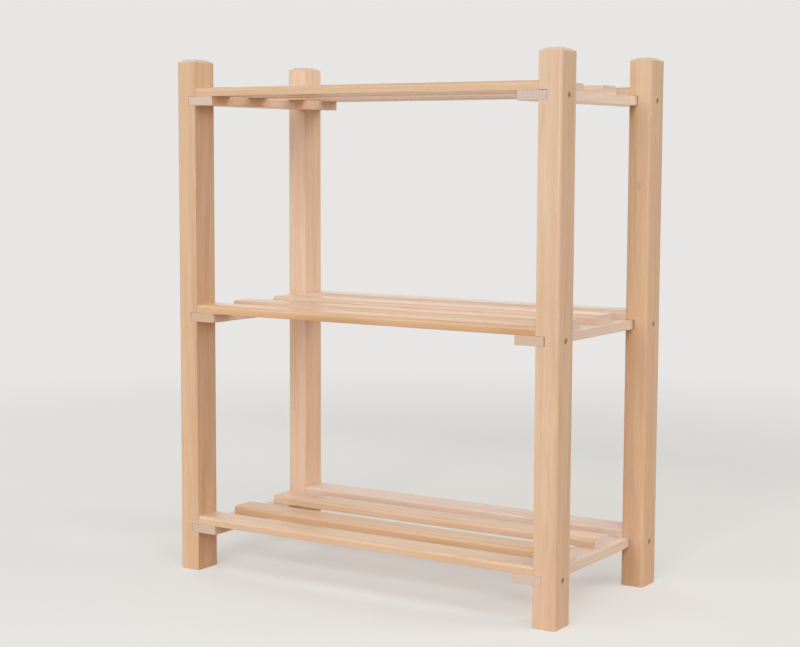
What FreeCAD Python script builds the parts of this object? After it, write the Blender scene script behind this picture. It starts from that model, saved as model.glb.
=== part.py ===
import FreeCAD, Part
import os
from FreeCAD import Placement, Rotation, Vector

# Three-tier slatted shoe rack in solid beech, in millimetres.
# +Z is up, +X is to the right and the front faces -Y. The origin is on the floor,
# in the middle of the four posts.

# Overall sizes
RACK_WIDTH = 584.0
RACK_DEPTH = 292.0
RACK_HEIGHT = 700.0

# Posts: rectangular bars on end, their outer long edges rounded and their tops bevelled all round
POST_WIDTH = 31.0
POST_DEPTH = 40.0
POST_EDGE_RADIUS = 4.0
POST_BEVEL_WIDTH = 7.5
POST_BEVEL_HEIGHT = 4.0

# Every other long or sharp edge of a post, a batten or a slat is lightly broken
ARRIS_RADIUS = 0.5

# Shelves, evenly spaced between the lowest and the highest
SHELF_LEVELS = ("bottom", "middle", "top")
FLOOR_CLEARANCE = 53.0
POST_RISE = 38.0

# Cross battens: front to back under the slats, their outer edges housed in the posts
BATTEN_WIDTH = 40.0
BATTEN_THICKNESS = 12.0
HOUSING_DEPTH = 11.0

# Slack in a housing, beyond the batten's edge and above it; two pairs on the right are looser
HOUSING_SLACK = (0.3, 0.3)
LOOSE_HOUSINGS = {("top", "right"): (0.8, 0.6), ("middle", "right"): (1.5, 0.3)}

# Slats: left to right on the battens, the outer two between the posts
SLAT_WIDTH = 40.0
SLAT_THICKNESS = 12.0
SLAT_EDGE_RADIUS = 5.0
SLAT_END_CLEARANCE = 0.15
MIDDLE_GAP = 52.0

# Countersunk wood screws: through the posts into the battens' edges
POST_SCREW_DIAMETER = 4.0
POST_SCREW_LENGTH = 45.0
POST_SCREW_HEAD = 8.0
POST_SCREW_SINK = 1.0

# Countersunk wood screws: through the battens, from below, into the slats
SLAT_SCREW_DIAMETER = 3.5
SLAT_SCREW_LENGTH = 20.0
SLAT_SCREW_HEAD = 7.0
SLAT_SCREW_SINK = 0.5

# Shared screw details
HEAD_RIM = 0.4
RECESS_SLOT_WIDTH = 1.0
RECESS_SLOT_SHARE = 0.55
RECESS_DEPTH = 1.4
HOLE_CLEARANCE = 0.1

# Places worked out from the sizes
SIDES = {"left": -1, "right": 1}
ENDS = {"front": -1, "rear": 1}
POST_INNER_X = RACK_WIDTH / 2 - POST_WIDTH
BATTEN_OUTER_X = POST_INNER_X + HOUSING_DEPTH
BATTEN_INNER_X = BATTEN_OUTER_X - BATTEN_WIDTH
SLAT_END_X = POST_INNER_X - SLAT_END_CLEARANCE

TOP_BATTEN_Z = RACK_HEIGHT - POST_RISE - SLAT_THICKNESS - BATTEN_THICKNESS
SHELF_PITCH = (TOP_BATTEN_Z - FLOOR_CLEARANCE) / (len(SHELF_LEVELS) - 1)
BATTEN_Z = {
    level: FLOOR_CLEARANCE + index * SHELF_PITCH
    for index, level in enumerate(SHELF_LEVELS)
}

OUTER_SLAT_Y = (RACK_DEPTH - SLAT_WIDTH) / 2
INNER_SLAT_Y = (MIDDLE_GAP + SLAT_WIDTH) / 2
SLAT_Y = {
    "front": -OUTER_SLAT_Y,
    "front_middle": -INNER_SLAT_Y,
    "rear_middle": INNER_SLAT_Y,
    "rear": OUTER_SLAT_Y,
}

POST_SCREW_Y = (RACK_DEPTH - POST_DEPTH) / 2
POST_SCREW_X = RACK_WIDTH / 2 - POST_SCREW_SINK
SLAT_SCREW_X = (BATTEN_INNER_X + SLAT_END_X) / 2
# An outer slat's screw stands midway between the post screw and the slat's inner edge.
OUTER_SLAT_SCREW_Y = (POST_SCREW_Y + RACK_DEPTH / 2 - SLAT_WIDTH) / 2
SLAT_SCREW_Y = {
    "front": -OUTER_SLAT_SCREW_Y,
    "front_middle": -INNER_SLAT_Y,
    "rear_middle": INNER_SLAT_Y,
    "rear": OUTER_SLAT_SCREW_Y,
}


def block(x_range, y_range, z_range):
    """A box between two limits on each axis, given in either order."""
    low = Vector(min(x_range), min(y_range), min(z_range))
    high = Vector(max(x_range), max(y_range), max(z_range))
    size = high - low
    return Part.makeBox(size.x, size.y, size.z, low)


def turned(points):
    """A solid of revolution about Z from an outline of (radius, height) points."""
    outline = Part.makePolygon([Vector(r, 0, z) for r, z in points + points[:1]])
    return Part.Face(outline).revolve(Vector(), Vector(0, 0, 1), 360)


def wood_screw(diameter, length, head):
    """A countersunk screw pointing up, with the top of its head at the origin."""
    shank_r = diameter / 2
    head_r = head / 2
    neck_z = HEAD_RIM + head_r - shank_r
    body = turned([
        (0, 0),
        (head_r, 0),
        (head_r, HEAD_RIM),
        (shank_r, neck_z),
        (shank_r, length - diameter),
        (0, length),
    ])
    reach = head * RECESS_SLOT_SHARE / 2
    half_slot = RECESS_SLOT_WIDTH / 2
    slot = block((-reach, reach), (-half_slot, half_slot), (0, RECESS_DEPTH))
    cross_slot = block((-half_slot, half_slot), (-reach, reach), (0, RECESS_DEPTH))
    return body.cut(slot.fuse(cross_slot))


def screw_hole(diameter, length, head, sink):
    """The hole for such a screw, open to the surface that its head is sunk below."""
    shank_r = diameter / 2 + HOLE_CLEARANCE
    head_r = head / 2 + HOLE_CLEARANCE
    neck_z = HEAD_RIM + (head - diameter) / 2
    return turned([
        (0, -2 * sink),
        (head_r, -2 * sink),
        (head_r, HEAD_RIM),
        (shank_r, neck_z),
        (shank_r, length + HOLE_CLEARANCE),
        (0, length + HOLE_CLEARANCE),
    ])


def placed(shape, point, direction):
    """A copy of a shape made along +Z, moved to a point and turned along a direction."""
    copy = shape.copy()
    copy.Placement = Placement(point, Rotation(Vector(0, 0, 1), direction))
    return copy


def post_screw_seats(level, sides=SIDES.values(), ends=ENDS.values()):
    """Head positions and directions of a shelf's post screws."""
    z = BATTEN_Z[level] + BATTEN_THICKNESS / 2
    return [
        (Vector(side * POST_SCREW_X, end * POST_SCREW_Y, z), Vector(-side, 0, 0))
        for side in sides
        for end in ends
    ]


def slat_screw_seats(level, sides=SIDES.values(), slats=tuple(SLAT_Y)):
    """Head positions and directions of a shelf's slat screws."""
    z = BATTEN_Z[level] + SLAT_SCREW_SINK
    return [
        (Vector(side * SLAT_SCREW_X, SLAT_SCREW_Y[slat], z), Vector(0, 0, 1))
        for side in sides
        for slat in slats
    ]


POST_SCREW = wood_screw(POST_SCREW_DIAMETER, POST_SCREW_LENGTH, POST_SCREW_HEAD)
POST_HOLE = screw_hole(POST_SCREW_DIAMETER, POST_SCREW_LENGTH, POST_SCREW_HEAD, POST_SCREW_SINK)
SLAT_SCREW = wood_screw(SLAT_SCREW_DIAMETER, SLAT_SCREW_LENGTH, SLAT_SCREW_HEAD)
SLAT_HOLE = screw_hole(SLAT_SCREW_DIAMETER, SLAT_SCREW_LENGTH, SLAT_SCREW_HEAD, SLAT_SCREW_SINK)


def drilled(shape, hole, seats):
    """The shape with a hole cut at each screw seat."""
    return shape.cut([placed(hole, point, direction) for point, direction in seats])


def runs_along(edge, axis):
    """Whether a straight edge lies along an axis."""
    return abs(edge.tangentAt(edge.FirstParameter).dot(axis)) > 0.999


def uprights(shape):
    """The straight upright edges of a shape."""
    return [edge for edge in shape.Edges if runs_along(edge, Vector(0, 0, 1))]


def make_post(side_name, end_name):
    """An upright with a housing and a screw hole for each shelf's batten."""
    side = SIDES[side_name]
    end = ENDS[end_name]
    middle_x = POST_INNER_X + POST_WIDTH / 2
    outer_x = side * RACK_WIDTH / 2
    outer_y = end * RACK_DEPTH / 2
    inner_x = side * POST_INNER_X
    square = block((outer_x, inner_x), (outer_y, outer_y - end * POST_DEPTH), (0, RACK_HEIGHT))
    upper = [edge for edge in square.Edges if edge.BoundBox.ZMin > RACK_HEIGHT / 2]
    crown = square.makeChamfer(POST_BEVEL_HEIGHT, POST_BEVEL_WIDTH, upper)
    sharp = [edge for edge in crown.Edges if edge.BoundBox.ZMax > RACK_HEIGHT / 2]
    crown = crown.makeFillet(ARRIS_RADIUS, sharp)
    outer = [edge for edge in uprights(square) if side * edge.CenterOfMass.x > middle_x]
    bar = square.makeFillet(POST_EDGE_RADIUS, outer)
    foot = [edge for edge in bar.Edges if edge.BoundBox.ZMax < RACK_HEIGHT / 2]
    bar = bar.makeFillet(ARRIS_RADIUS, foot).common(crown)
    open_x = inner_x - side
    across = (-RACK_DEPTH, RACK_DEPTH)
    for level in SHELF_LEVELS:
        end_slack, top_slack = LOOSE_HOUSINGS.get((level, side_name), HOUSING_SLACK)
        closed_x = side * (BATTEN_OUTER_X + end_slack)
        floor_z = BATTEN_Z[level]
        roof_z = floor_z + BATTEN_THICKNESS + top_slack
        bar = bar.cut(block((open_x, closed_x), across, (floor_z, roof_z)))
        bar = drilled(bar, POST_HOLE, post_screw_seats(level, [side], [end]))
    return bar


def make_batten(level, side):
    """A cross batten, drilled for two post screws and four slat screws."""
    bar = block(
        (side * BATTEN_INNER_X, side * BATTEN_OUTER_X),
        (-RACK_DEPTH / 2, RACK_DEPTH / 2),
        (BATTEN_Z[level], BATTEN_Z[level] + BATTEN_THICKNESS),
    )
    bar = bar.makeFillet(ARRIS_RADIUS, bar.Edges)
    bar = drilled(bar, POST_HOLE, post_screw_seats(level, [side]))
    return drilled(bar, SLAT_HOLE, slat_screw_seats(level, [side]))


def make_slat(level, slat):
    """A slat with rounded upper edges, drilled from below near both ends."""
    seat_z = BATTEN_Z[level] + BATTEN_THICKNESS
    middle_y = SLAT_Y[slat]
    bar = block(
        (-SLAT_END_X, SLAT_END_X),
        (middle_y - SLAT_WIDTH / 2, middle_y + SLAT_WIDTH / 2),
        (seat_z, seat_z + SLAT_THICKNESS),
    )
    upper = [
        edge for edge in bar.Edges
        if runs_along(edge, Vector(1, 0, 0)) and edge.BoundBox.ZMin > seat_z + SLAT_THICKNESS / 2
    ]
    bar = bar.makeFillet(SLAT_EDGE_RADIUS, upper)
    sharp = [
        edge for edge in bar.Edges
        if not runs_along(edge, Vector(1, 0, 0)) or edge.BoundBox.ZMin < seat_z + SLAT_THICKNESS / 4
    ]
    bar = bar.makeFillet(ARRIS_RADIUS, sharp)
    return drilled(bar, SLAT_HOLE, slat_screw_seats(level, slats=[slat]))


def screw_set(screw, seats):
    """A group of separate screws, one at each seat."""
    return Part.makeCompound([placed(screw, point, direction) for point, direction in seats])


def rack_nodes():
    """Every node of the rack, by name."""
    nodes = {}
    for end_name in ENDS:
        for side_name in SIDES:
            nodes[f"post_{end_name}_{side_name}"] = make_post(side_name, end_name)
    for level in SHELF_LEVELS:
        for side_name, side in SIDES.items():
            nodes[f"batten_{level}_{side_name}"] = make_batten(level, side)
        for slat in SLAT_Y:
            nodes[f"slat_{level}_{slat}"] = make_slat(level, slat)
        nodes[f"post_screws_{level}"] = screw_set(POST_SCREW, post_screw_seats(level))
        nodes[f"slat_screws_{level}"] = screw_set(SLAT_SCREW, slat_screw_seats(level))
    return nodes


os.makedirs("parts", exist_ok=True)
for name, shape in rack_nodes().items():
    shape.exportStep(f"parts/{name}.step")
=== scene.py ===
import math
import random

import bmesh
import bpy
from mathutils import Matrix, Vector


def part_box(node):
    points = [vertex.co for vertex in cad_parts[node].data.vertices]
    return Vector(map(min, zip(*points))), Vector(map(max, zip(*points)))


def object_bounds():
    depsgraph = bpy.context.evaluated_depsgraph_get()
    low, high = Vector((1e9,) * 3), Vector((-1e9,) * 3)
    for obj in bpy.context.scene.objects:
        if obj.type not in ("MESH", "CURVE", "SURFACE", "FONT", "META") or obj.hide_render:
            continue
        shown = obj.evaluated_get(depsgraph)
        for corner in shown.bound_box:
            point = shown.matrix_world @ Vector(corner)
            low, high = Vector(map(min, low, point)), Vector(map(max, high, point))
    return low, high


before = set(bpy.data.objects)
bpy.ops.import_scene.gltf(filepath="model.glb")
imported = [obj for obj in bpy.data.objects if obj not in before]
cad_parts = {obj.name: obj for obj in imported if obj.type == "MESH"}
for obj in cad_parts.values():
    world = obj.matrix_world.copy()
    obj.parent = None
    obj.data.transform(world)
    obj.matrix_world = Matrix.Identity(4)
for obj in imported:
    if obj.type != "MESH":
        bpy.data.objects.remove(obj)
CAD_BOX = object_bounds()

# Camera: place in metres, angles in radians, picture and focal length in pixels, sensor in millimetres
IMAGE_WIDTH = 800
CAMERA_PLACE = Vector((1.21215, -1.92657, 0.57439))
CAMERA_YAW = 0.5710
CAMERA_PITCH = -0.1000
CAMERA_ROLL = 0.0037
FOCAL_PIXELS = 1691.2
SENSOR_WIDTH = 36.0

# Stage, in metres: a pale floor that fades into its surround, and lights the rack in a warmer colour
FLOOR_RADIUS = 2.4
FLOOR_FADE_START = 0.9
FLOOR_SEGMENTS = 96
FLOOR_COLOUR = (0.50, 0.490, 0.475, 1)
FLOOR_GLOW = (0.80, 0.785, 0.765, 1)
FLOOR_GLOW_SHARE = 0.45
FLOOR_BOUNCE = (0.62, 0.39, 0.21, 1)
SURROUND_COLOUR = (0.80, 0.79, 0.775, 1)
SURROUND_STRENGTH = 1.0
SKY_COLOUR = (1.0, 0.985, 0.96, 1)
SKY_STRENGTH = 0.01

# Lamps: name, degrees round from the front towards the right, degrees up, metres wide, watts, colour
LARGE = 2.75
SMALL = 1.3
WHITE_LIGHT = (0.945, 0.98, 1.0)
WARM_LIGHT = (1.0, 0.922, 0.80)
LAMPS = (
    ("left_light", -64, 30, LARGE, 24, WHITE_LIGHT),
    ("left_front_light", -30, 25, LARGE, 60, WHITE_LIGHT),
    ("front_light", 0, 30, LARGE, 44, WHITE_LIGHT),
    ("low_front_light", 10, 4, SMALL, 50, WHITE_LIGHT),
    ("right_front_light", 20, 25, LARGE, 108, WHITE_LIGHT),
    ("high_right_light", 50, 50, LARGE, 84, WHITE_LIGHT),
    ("right_back_light", 110, 25, LARGE, 123, WARM_LIGHT),
    ("back_light", 170, 10, LARGE, 45, WHITE_LIGHT),
    ("left_back_light", -115, 25, LARGE, 55, WHITE_LIGHT),
)
LAMP_DISTANCE = 5.5

# Lamps that light the rack but don't show in its sheen
SHEENLESS_LAMPS = ("back_light",)

# A broad dim light close behind the rack: its place and size in metres
BACK_GLOW_PLACE = Vector((-0.6, 1.0, 1.15))
BACK_GLOW_SIZE = (1.6, 1.5)
BACK_GLOW_WATTS = 3.6
BACK_GLOW_COLOUR = (1.0, 0.99, 0.97)

# Noise: how many finer layers a pattern has, how strong they are, and the middle of its range
SMOOTH_DETAIL = 1.0
SOFT_DETAIL = 2.0
FINE_DETAIL = 3.0
NOISE_ROUGHNESS = 0.55
NOISE_MIDDLE = (0.5, 0.5, 0.5)

# Beech: colours in scene-linear light
PALE_WOOD = (0.808, 0.590, 0.412)
FAIR_WOOD = (0.741, 0.507, 0.326)
DEEP_WOOD = (0.601, 0.364, 0.208)
PINK_WOOD = (0.760, 0.488, 0.342)
END_GRAIN = (0.735, 0.560, 0.440)
END_PORES = (0.570, 0.410, 0.310)
RAY_FLECK = (0.420, 0.215, 0.105, 1)
KNOT_BROWN = (0.300, 0.100, 0.030, 1)

# Beech: how deep in tone each of the wood's main colours is, from 0 to 1
WOOD_STOPS = ((0.05, PALE_WOOD), (0.45, FAIR_WOOD), (1.0, DEEP_WOOD))

# Beech: sizes of its patterns in metres, across and along the grain
DRIFT_SIZE = (0.075, 0.30)
RING_SWAY_SIZE = (0.027, 0.22)
BAND_SIZE = (0.009, 0.22)
STREAK_SIZE = (0.0026, 0.055)
FIBRE_SIZE = (0.0010, 0.022)
BLUSH_SIZE = (0.0162, 0.154)
FLECK_SIZE = (0.0011, 0.0080)
PORE_SIZE = (0.0005, 1.0)
KNOT_SIZE = (0.0030, 0.0062)

# Beech: other lengths in metres, and how far the grain may lean as a slope
RING_WIDTH = 0.0036
DRIFT_REACH = 0.0045
HEART_REACH = (0.045, 0.11)
HEARTWOOD_FADE = 0.012
WOOD_BUMP_DEPTH = 0.00025
HEART_TILT = 0.018

# Beech: what is left of a place in the tree when its height there is taken out
ACROSS_ONLY = (1, 1, 0)

# Beech: between which values each pattern is eased in or out
RING_RISE = (0.3, 0.92)
RING_FALL = (0.93, 1.0)
BAND_RANGE = (0.28, 0.72)
STREAK_RANGE = (0.25, 0.75)
FIBRE_RANGE = (0.25, 0.75)
BLUSH_RANGE = (0.40, 0.70)
FLECK_EDGE = (0.12, 0.30)
PORE_EDGE = (0.15, 0.45)
KNOT_EDGE = (0.3, 1.3)
END_RANGE = (0.15, 0.85)

# Beech: how far rings sway, in rings, how faint one may be, and how much each pattern counts
RING_SWAY = 4.0
FAINTEST_RING = 0.25
RING_SHARE = 0.10
BAND_SHARE = 0.34
STREAK_SHARE = 0.22
FIBRE_SHARE = 0.22
BLUSH_SHARE = 0.50
FLECK_SHARE = 0.18
KNOT_SHARE = 0.32
END_RING_SHARE = 0.25
END_PORE_SHARE = 0.30

# Beech: its satin lacquer and fine relief
LACQUER_RANGE = (0.2, 0.8)
WOOD_ROUGHNESS = (0.44, 0.56)
END_ROUGHER = 0.15
COAT = 0.35
END_COAT = 0.1
COAT_ROUGHNESS = 0.28
WOOD_BUMP = 0.2
FLECK_HEIGHT = -0.3
PORE_HEIGHT = -0.6

# Where the heart lay, in degrees about the grain, and how much deeper the wood is on that side
HEARTWOOD = {
    "slat_middle_front": (-90, 0.80),
    "post_front_left": (0, 0.30),
    "post_front_right": (0, 0.12),
    "post_rear_right": (180, 0.30),
}

# The same share for the other pieces, whose heart lies where a random draw puts it
HEARTWOOD_SHARE = 0.12

# The place of a pin knot on one post
KNOTS = {"post_rear_right": Vector((0.2767, 0.106, 0.533))}

# Each piece's tone: how light it is, and how warm
TONES = {
    "post_front_left": (0.945, 0.3),
    "post_front_right": (0.92, -0.4),
    "post_rear_left": (1.08, -1.1),
    "post_rear_right": (0.89, 0.8),
    "batten_bottom_left": (1.02, -3.2),
    "batten_bottom_right": (1.045, -4.3),
    "batten_middle_left": (1.17, -4.6),
    "batten_middle_right": (1.075, -3.7),
    "batten_top_left": (1.22, -1.5),
    "batten_top_right": (1.23, -4.8),
    "slat_bottom_front": (0.915, 0.0),
    "slat_bottom_front_middle": (0.87, 1.2),
    "slat_bottom_rear_middle": (1.0, -0.4),
    "slat_bottom_rear": (1.02, -3.0),
    "slat_middle_front": (0.90, 1.6),
    "slat_middle_front_middle": (0.91, 0.2),
    "slat_middle_rear_middle": (1.03, -1.0),
    "slat_middle_rear": (0.955, -1.7),
    "slat_top_front": (0.86, 0.9),
    "slat_top_front_middle": (0.85, 1.7),
    "slat_top_rear_middle": (0.935, -1.5),
    # slat_top_rear is set darker partly as painted shade, which stands in for the shade on its underside
    "slat_top_rear": (0.79, 0.4),
}

# The tone of sawn ends: a piece not named takes the tone of its kind
END_TONES = {
    "post": (0.95, 0.3),
    "batten": (0.84, -0.5),
    "slat": (1.05, -1.4),
    "batten_bottom_right": (0.87, -1.0),
    "batten_middle_left": (0.84, 1.4),
    "batten_middle_right": (0.85, 0.7),
    "batten_top_left": (0.92, -0.4),
    "batten_top_right": (0.83, -1.2),
    "slat_bottom_front_middle": (1.20, -3.0),
    "slat_bottom_rear_middle": (1.10, -3.0),
}

# How much green and how much blue one step of warmth takes away
WARMTH_GREEN = 0.04
WARMTH_BLUE = 0.12

# The axis that each kind's grain follows: 0 is X, 1 is Y and 2 is Z
GRAIN_AXIS = {"post": 2, "batten": 1, "slat": 0}

# Yellow zinc plate: colours in scene-linear light, darkened towards brown partly as painted shade for
# the sunk screw holes, the size of its clouds in metres, and its finish
ZINC_BRIGHT = (0.62, 0.42, 0.24, 1)
ZINC_DULL_AND_SHADED = (0.32, 0.20, 0.10, 1)
ZINC_CLOUD_SIZE = (0.0006, 0.0006)
ZINC_RANGE = (0.3, 0.7)
ZINC_ROUGHNESS = (0.34, 0.52)
ZINC_BUMP = 0.15
ZINC_BUMP_DEPTH = 0.00006


def feed(tree, socket, value):
    """Wire a socket to another node's output, or set its plain value."""
    if isinstance(value, bpy.types.NodeSocket):
        tree.links.new(value, socket)
    else:
        socket.default_value = value


def add_node(tree, kind, inputs, **settings):
    """Add a node with its settings and inputs; inputs are given by name or by number."""
    node = tree.nodes.new("ShaderNode" + kind)
    for key, value in settings.items():
        setattr(node, key, value)
    for key, value in inputs.items():
        feed(tree, node.inputs[key], value)
    return node


def number(tree, operation, first, second=0.0):
    """The result of one sum on numbers."""
    return add_node(tree, "Math", {0: first, 1: second}, operation=operation).outputs[0]


def vector(tree, operation, first, second):
    """The result of one sum on vectors."""
    return add_node(tree, "VectorMath", {0: first, 1: second}, operation=operation).outputs[0]


def length(tree, value):
    """How long a vector is."""
    return add_node(tree, "VectorMath", {0: value}, operation="LENGTH").outputs["Value"]


def axis_parts(tree, value):
    """A vector's three parts."""
    return add_node(tree, "SeparateXYZ", {0: value}).outputs


def span(tree, value, low, high, to_low=0.0, to_high=1.0):
    """A value eased from one range to another."""
    inputs = {"Value": value, 1: low, 2: high, 3: to_low, 4: to_high}
    return add_node(tree, "MapRange", inputs, interpolation_type="SMOOTHSTEP").outputs[0]


def total(tree, *shares):
    """The sum of values, each one given with its weight."""
    result = number(tree, "MULTIPLY", *shares[0])
    for value, weight in shares[1:]:
        result = number(tree, "ADD", result, number(tree, "MULTIPLY", value, weight))
    return result


def stretched(tree, place, size):
    """Coordinates for a pattern drawn out along the third axis; its size is given across and along."""
    across, along = size
    return vector(tree, "MULTIPLY", place, (1 / across, 1 / across, 1 / along))


def noise(tree, place, size, detail, output="Fac"):
    """Soft noise whose features are about as large as the size says."""
    inputs = {
        "Vector": stretched(tree, place, size),
        "Scale": 1.0,
        "Detail": detail,
        "Roughness": NOISE_ROUGHNESS,
    }
    return add_node(tree, "TexNoise", inputs).outputs[output]


def spots(tree, place, size, inner, outer):
    """Soft spots scattered one to a cell; the size is a cell's."""
    inputs = {"Vector": stretched(tree, place, size), "Scale": 1.0}
    distance = add_node(tree, "TexVoronoi", inputs).outputs["Distance"]
    return span(tree, distance, inner, outer, 1.0, 0.0)


def blend(tree, share, first, second):
    """A colour between two colours."""
    node = tree.nodes.new("ShaderNodeMix")
    node.data_type = "RGBA"
    by_name = {socket.identifier: socket for socket in node.inputs}
    feed(tree, by_name["Factor_Float"], share)
    feed(tree, by_name["A_Color"], first)
    feed(tree, by_name["B_Color"], second)
    return next(socket for socket in node.outputs if socket.identifier == "Result_Color")


def ramp(tree, value, stops):
    """A colour picked from stops of (position, colour)."""
    node = add_node(tree, "ValToRGB", {"Fac": value})
    elements = node.color_ramp.elements
    while len(elements) < len(stops):
        elements.new(0.5)
    for element, (position, colour) in zip(elements, stops):
        element.position = position
        element.color = colour
    return node.outputs["Color"]


def relief(tree, surface, strength, depth, height):
    """Give a surface fine relief from a height."""
    inputs = {"Strength": strength, "Distance": depth, "Height": height}
    feed(tree, surface.inputs["Normal"], add_node(tree, "Bump", inputs).outputs[0])


def empty_tree(owner):
    """The node tree of a material or a world, with nothing in it."""
    owner.use_nodes = True
    owner.node_tree.nodes.clear()
    return owner.node_tree


def new_material(name):
    """A new material with one plain surface: the material, its tree and that surface."""
    material = bpy.data.materials.new(name)
    tree = empty_tree(material)
    surface = add_node(tree, "BsdfPrincipled", {})
    add_node(tree, "OutputMaterial", {"Surface": surface.outputs[0]})
    return material, tree, surface


def toned(colour, tone):
    """A colour made lighter or darker, and warmer or paler, for one piece of wood."""
    light, warmth = tone
    red, green, blue = colour
    green *= 1 - WARMTH_GREEN * warmth
    blue *= 1 - WARMTH_BLUE * warmth
    return (red * light, green * light, blue * light, 1)


def axes_across(along):
    """The two axes across the grain."""
    return [axis for axis in range(3) if axis != along]


def heart_of(draw, node, along):
    """The tree's heart beside a piece: its place, its distance and how much deeper the wood is there."""
    low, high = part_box(node)
    drawn = (draw.uniform(0, 360), HEARTWOOD_SHARE)
    turn, share = HEARTWOOD.get(node, drawn)
    reach = draw.uniform(*HEART_REACH)
    first, second = axes_across(along)
    heart = (low + high) / 2
    heart[first] += reach * math.cos(math.radians(turn))
    heart[second] += reach * math.sin(math.radians(turn))
    return heart, reach, share


def grain_place(tree, draw, heart, along, place):
    """Place in the tree the piece was sawn from: the third axis follows the grain, the heart is at 0."""
    parts = axis_parts(tree, vector(tree, "SUBTRACT", place, heart))
    leaned = []
    for axis in axes_across(along):
        slope = draw.uniform(-HEART_TILT, HEART_TILT)
        leaned.append(total(tree, (parts[axis], 1.0), (parts[along], slope)))
    straight = add_node(tree, "CombineXYZ", {0: leaned[0], 1: leaned[1], 2: parts[along]}).outputs[0]
    wander = noise(tree, straight, DRIFT_SIZE, SMOOTH_DETAIL, "Color")
    shift = vector(tree, "MULTIPLY", vector(tree, "SUBTRACT", wander, NOISE_MIDDLE), (DRIFT_REACH,) * 3)
    return vector(tree, "ADD", straight, shift)


def growth_rings(tree, grain, radius):
    """Growth rings of uneven width and strength; each one deepens outwards to its late wood."""
    uneven = noise(tree, grain, RING_SWAY_SIZE, SOFT_DETAIL)
    count = total(tree, (radius, 1 / RING_WIDTH), (uneven, RING_SWAY))
    part = number(tree, "FRACT", count)
    year = add_node(tree, "TexWhiteNoise", {"W": number(tree, "FLOOR", count)}, noise_dimensions="1D")
    rise = span(tree, part, *RING_RISE)
    fall = span(tree, part, *RING_FALL, 1.0, 0.0)
    strength = span(tree, year.outputs["Value"], 0.0, 1.0, FAINTEST_RING, 1.0)
    return number(tree, "MULTIPLY", number(tree, "MULTIPLY", rise, fall), strength)


def pin_knot(tree, node, along, place):
    """How strongly a small knot shows at a place."""
    across_size, along_size = KNOT_SIZE
    sizes = [across_size] * 3
    sizes[along] = along_size
    offset = vector(tree, "SUBTRACT", place, KNOTS[node])
    distance = length(tree, vector(tree, "DIVIDE", offset, sizes))
    return span(tree, distance, *KNOT_EDGE, KNOT_SHARE, 0.0)


def beech(name, node, along, tone, end_tone):
    """Clear-finished beech for one piece: bands, rings, streaks, fibres, ray flecks and sawn ends."""
    material, tree, surface = new_material(name)
    coordinates = tree.nodes.new("ShaderNodeTexCoord").outputs
    place = coordinates["Object"]
    draw = random.Random(name)
    heart, reach, heart_share = heart_of(draw, node, along)
    grain = grain_place(tree, draw, heart, along, place)
    radius = length(tree, vector(tree, "MULTIPLY", grain, ACROSS_ONLY))

    near = span(tree, radius, reach - HEARTWOOD_FADE, reach + HEARTWOOD_FADE, 1.0, 0.0)
    ring = growth_rings(tree, grain, radius)
    band = span(tree, noise(tree, grain, BAND_SIZE, SOFT_DETAIL), *BAND_RANGE)
    streak = span(tree, noise(tree, grain, STREAK_SIZE, SOFT_DETAIL), *STREAK_RANGE)
    fibre = noise(tree, grain, FIBRE_SIZE, FINE_DETAIL)
    fine = span(tree, fibre, *FIBRE_RANGE)
    blush = span(tree, noise(tree, grain, BLUSH_SIZE, SMOOTH_DETAIL), *BLUSH_RANGE)
    fleck = spots(tree, grain, FLECK_SIZE, *FLECK_EDGE)
    pore = spots(tree, grain, PORE_SIZE, *PORE_EDGE)

    # Colour along the grain
    depth = total(
        tree,
        (ring, RING_SHARE),
        (band, BAND_SHARE),
        (streak, STREAK_SHARE),
        (fine, FIBRE_SHARE),
        (near, heart_share),
    )
    colour = ramp(tree, depth, [(position, toned(wood, tone)) for position, wood in WOOD_STOPS])
    colour = blend(tree, number(tree, "MULTIPLY", blush, BLUSH_SHARE), colour, toned(PINK_WOOD, tone))
    colour = blend(tree, number(tree, "MULTIPLY", fleck, FLECK_SHARE), colour, RAY_FLECK)
    if node in KNOTS:
        colour = blend(tree, pin_knot(tree, node, along, place), colour, KNOT_BROWN)

    # Sawn ends: paler and greyer, with ring arcs and open pores
    facing = axis_parts(tree, coordinates["Normal"])[along]
    end = span(tree, number(tree, "ABSOLUTE", facing), *END_RANGE)
    cut = total(tree, (ring, END_RING_SHARE), (pore, END_PORE_SHARE))
    end_colour = blend(tree, cut, toned(END_GRAIN, end_tone), toned(END_PORES, end_tone))
    feed(tree, surface.inputs["Base Color"], blend(tree, end, colour, end_colour))

    # Satin lacquer: open fibres are rougher, and sawn ends soak it up
    rough = span(tree, fibre, *LACQUER_RANGE, *WOOD_ROUGHNESS)
    feed(tree, surface.inputs["Roughness"], total(tree, (rough, 1.0), (end, END_ROUGHER)))
    feed(tree, surface.inputs["Coat Weight"], span(tree, end, 0.0, 1.0, COAT, END_COAT))
    feed(tree, surface.inputs["Coat Roughness"], COAT_ROUGHNESS)
    open_pore = number(tree, "MULTIPLY", pore, end)
    height = total(tree, (fibre, 1.0), (fleck, FLECK_HEIGHT), (open_pore, PORE_HEIGHT))
    relief(tree, surface, WOOD_BUMP, WOOD_BUMP_DEPTH, height)
    return material


def zinc_steel(name):
    """Yellow zinc plate, clouded and slightly dulled, its colour darkened partly as painted shade for
    the sunk screw holes.
    """
    material, tree, surface = new_material(name)
    place = tree.nodes.new("ShaderNodeTexCoord").outputs["Object"]
    cloud = noise(tree, place, ZINC_CLOUD_SIZE, FINE_DETAIL)
    # The zinc's colours are partly painted shade: they are darkened for the sunk screw holes
    feed(tree, surface.inputs["Base Color"], blend(tree, cloud, ZINC_DULL_AND_SHADED, ZINC_BRIGHT))
    feed(tree, surface.inputs["Metallic"], 1.0)
    feed(tree, surface.inputs["Roughness"], span(tree, cloud, *ZINC_RANGE, *ZINC_ROUGHNESS))
    relief(tree, surface, ZINC_BUMP, ZINC_BUMP_DEPTH, cloud)
    return material


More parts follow.
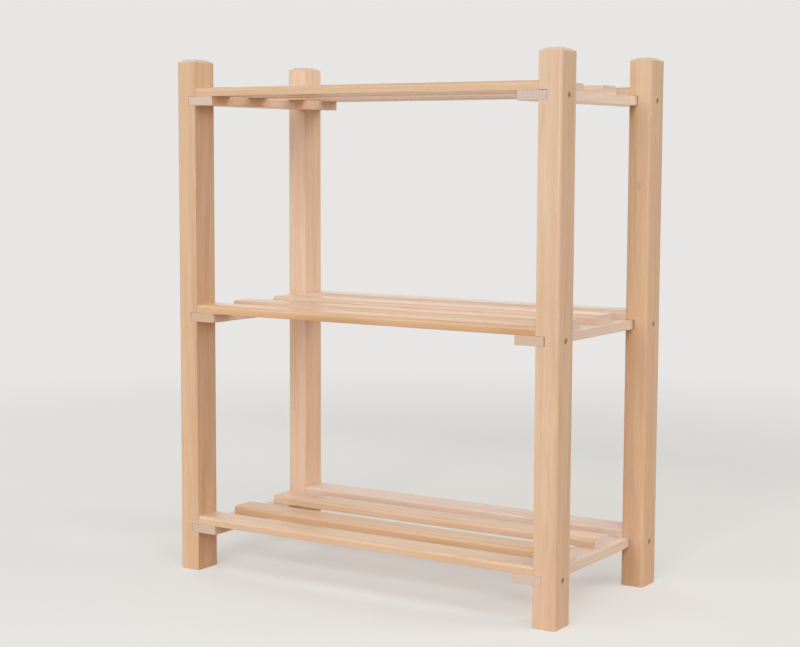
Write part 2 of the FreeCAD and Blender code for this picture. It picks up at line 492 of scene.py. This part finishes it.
def paint_nodes():
    """Give each piece of wood a beech of its own, and all the screws one zinc plate."""
    steel = zinc_steel("zinc_steel")
    for node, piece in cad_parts.items():
        kind = node.split("_")[0]
        if "_screws_" in node:
            material = steel
        else:
            end_tone = END_TONES.get(node, END_TONES[kind])
            material = beech("beech_" + node, node, GRAIN_AXIS[kind], TONES[node], end_tone)
        piece.data.materials.clear()
        piece.data.materials.append(material)


def seen_share(tree):
    """1 where the camera or a reflection looks, 0 for light on its way to the rack."""
    rays = tree.nodes.new("ShaderNodeLightPath").outputs
    return number(tree, "MAXIMUM", rays["Is Camera Ray"], rays["Is Glossy Ray"])


def floor_paper():
    """Matt pale paper that fades out towards the floor's rim."""
    material = bpy.data.materials.new("floor_paper")
    tree = empty_tree(material)
    place = tree.nodes.new("ShaderNodeTexCoord").outputs["Object"]
    fade = span(tree, length(tree, place), FLOOR_FADE_START, FLOOR_RADIUS)
    lit = add_node(tree, "BsdfDiffuse", {"Color": FLOOR_COLOUR}).outputs[0]
    glow = add_node(tree, "Emission", {"Color": FLOOR_GLOW, "Strength": FLOOR_GLOW_SHARE}).outputs[0]
    shown = add_node(tree, "AddShader", {0: lit, 1: glow}).outputs[0]
    bounced = add_node(tree, "BsdfDiffuse", {"Color": FLOOR_BOUNCE}).outputs[0]
    paper = add_node(tree, "MixShader", {0: seen_share(tree), 1: bounced, 2: shown}).outputs[0]
    clear = tree.nodes.new("ShaderNodeBsdfTransparent").outputs[0]
    surface = add_node(tree, "MixShader", {0: fade, 1: paper, 2: clear}).outputs[0]
    add_node(tree, "OutputMaterial", {"Surface": surface})
    return material


def make_floor():
    """A round paper floor."""
    mesh = bpy.data.meshes.new("floor")
    outline = bmesh.new()
    bmesh.ops.create_circle(outline, cap_ends=True, segments=FLOOR_SEGMENTS, radius=FLOOR_RADIUS)
    outline.to_mesh(mesh)
    outline.free()
    floor = bpy.data.objects.new("floor", mesh)
    bpy.context.scene.collection.objects.link(floor)
    mesh.materials.append(floor_paper())


def make_surround():
    """Even light from all round, and a pale surround where the view goes past the rack."""
    world = bpy.data.worlds.new("surround")
    bpy.context.scene.world = world
    tree = empty_tree(world)
    sky = add_node(tree, "Background", {"Color": SKY_COLOUR, "Strength": SKY_STRENGTH}).outputs[0]
    pale = {"Color": SURROUND_COLOUR, "Strength": SURROUND_STRENGTH}
    backdrop = add_node(tree, "Background", pale).outputs[0]
    surface = add_node(tree, "MixShader", {0: seen_share(tree), 1: sky, 2: backdrop}).outputs[0]
    add_node(tree, "OutputWorld", {"Surface": surface})


def add_lamp(name, shape, size, watts, colour, place):
    """One soft lamp, at a place that is given as a matrix; it shines along the matrix's -Z."""
    light = bpy.data.lights.new(name, "AREA")
    light.shape = shape
    light.size, light.size_y = size
    light.energy = watts
    light.color = colour
    lamp = bpy.data.objects.new(name, light)
    lamp.matrix_world = place
    bpy.context.scene.collection.objects.link(lamp)
    return lamp


def make_lamps():
    """Soft lamps aimed at the middle of the rack, and a broad glow close behind it."""
    middle = Matrix.Translation((CAD_BOX[0] + CAD_BOX[1]) / 2)
    for name, degrees_round, degrees_up, size, watts, colour in LAMPS:
        turn = Matrix.Rotation(math.radians(degrees_round), 4, "Z")
        tilt = Matrix.Rotation(math.radians(90 - degrees_up), 4, "X")
        place = middle @ turn @ tilt @ Matrix.Translation((0, 0, LAMP_DISTANCE))
        lamp = add_lamp(name, "SQUARE", (size, size), watts, colour, place)
        lamp.visible_glossy = name not in SHEENLESS_LAMPS
    facing_front = Matrix.Rotation(math.radians(-90), 4, "X")
    place = Matrix.Translation(BACK_GLOW_PLACE) @ facing_front
    glow = add_lamp("back_glow", "RECTANGLE", BACK_GLOW_SIZE, BACK_GLOW_WATTS, BACK_GLOW_COLOUR, place)
    glow.visible_camera = False


def make_camera():
    """The camera at the photographed viewpoint."""
    data = bpy.data.cameras.new("camera")
    data.sensor_fit = "HORIZONTAL"
    data.sensor_width = SENSOR_WIDTH
    data.lens = FOCAL_PIXELS / IMAGE_WIDTH * SENSOR_WIDTH
    camera = bpy.data.objects.new("camera", data)
    camera.matrix_world = (
        Matrix.Translation(CAMERA_PLACE)
        @ Matrix.Rotation(CAMERA_YAW, 4, "Z")
        @ Matrix.Rotation(math.pi / 2 + CAMERA_PITCH, 4, "X")
        @ Matrix.Rotation(CAMERA_ROLL, 4, "Z")
    )
    bpy.context.scene.collection.objects.link(camera)
    bpy.context.scene.camera = camera


paint_nodes()
make_floor()
make_surround()
make_lamps()
make_camera()
bpy.context.scene.view_settings.view_transform = "Standard"
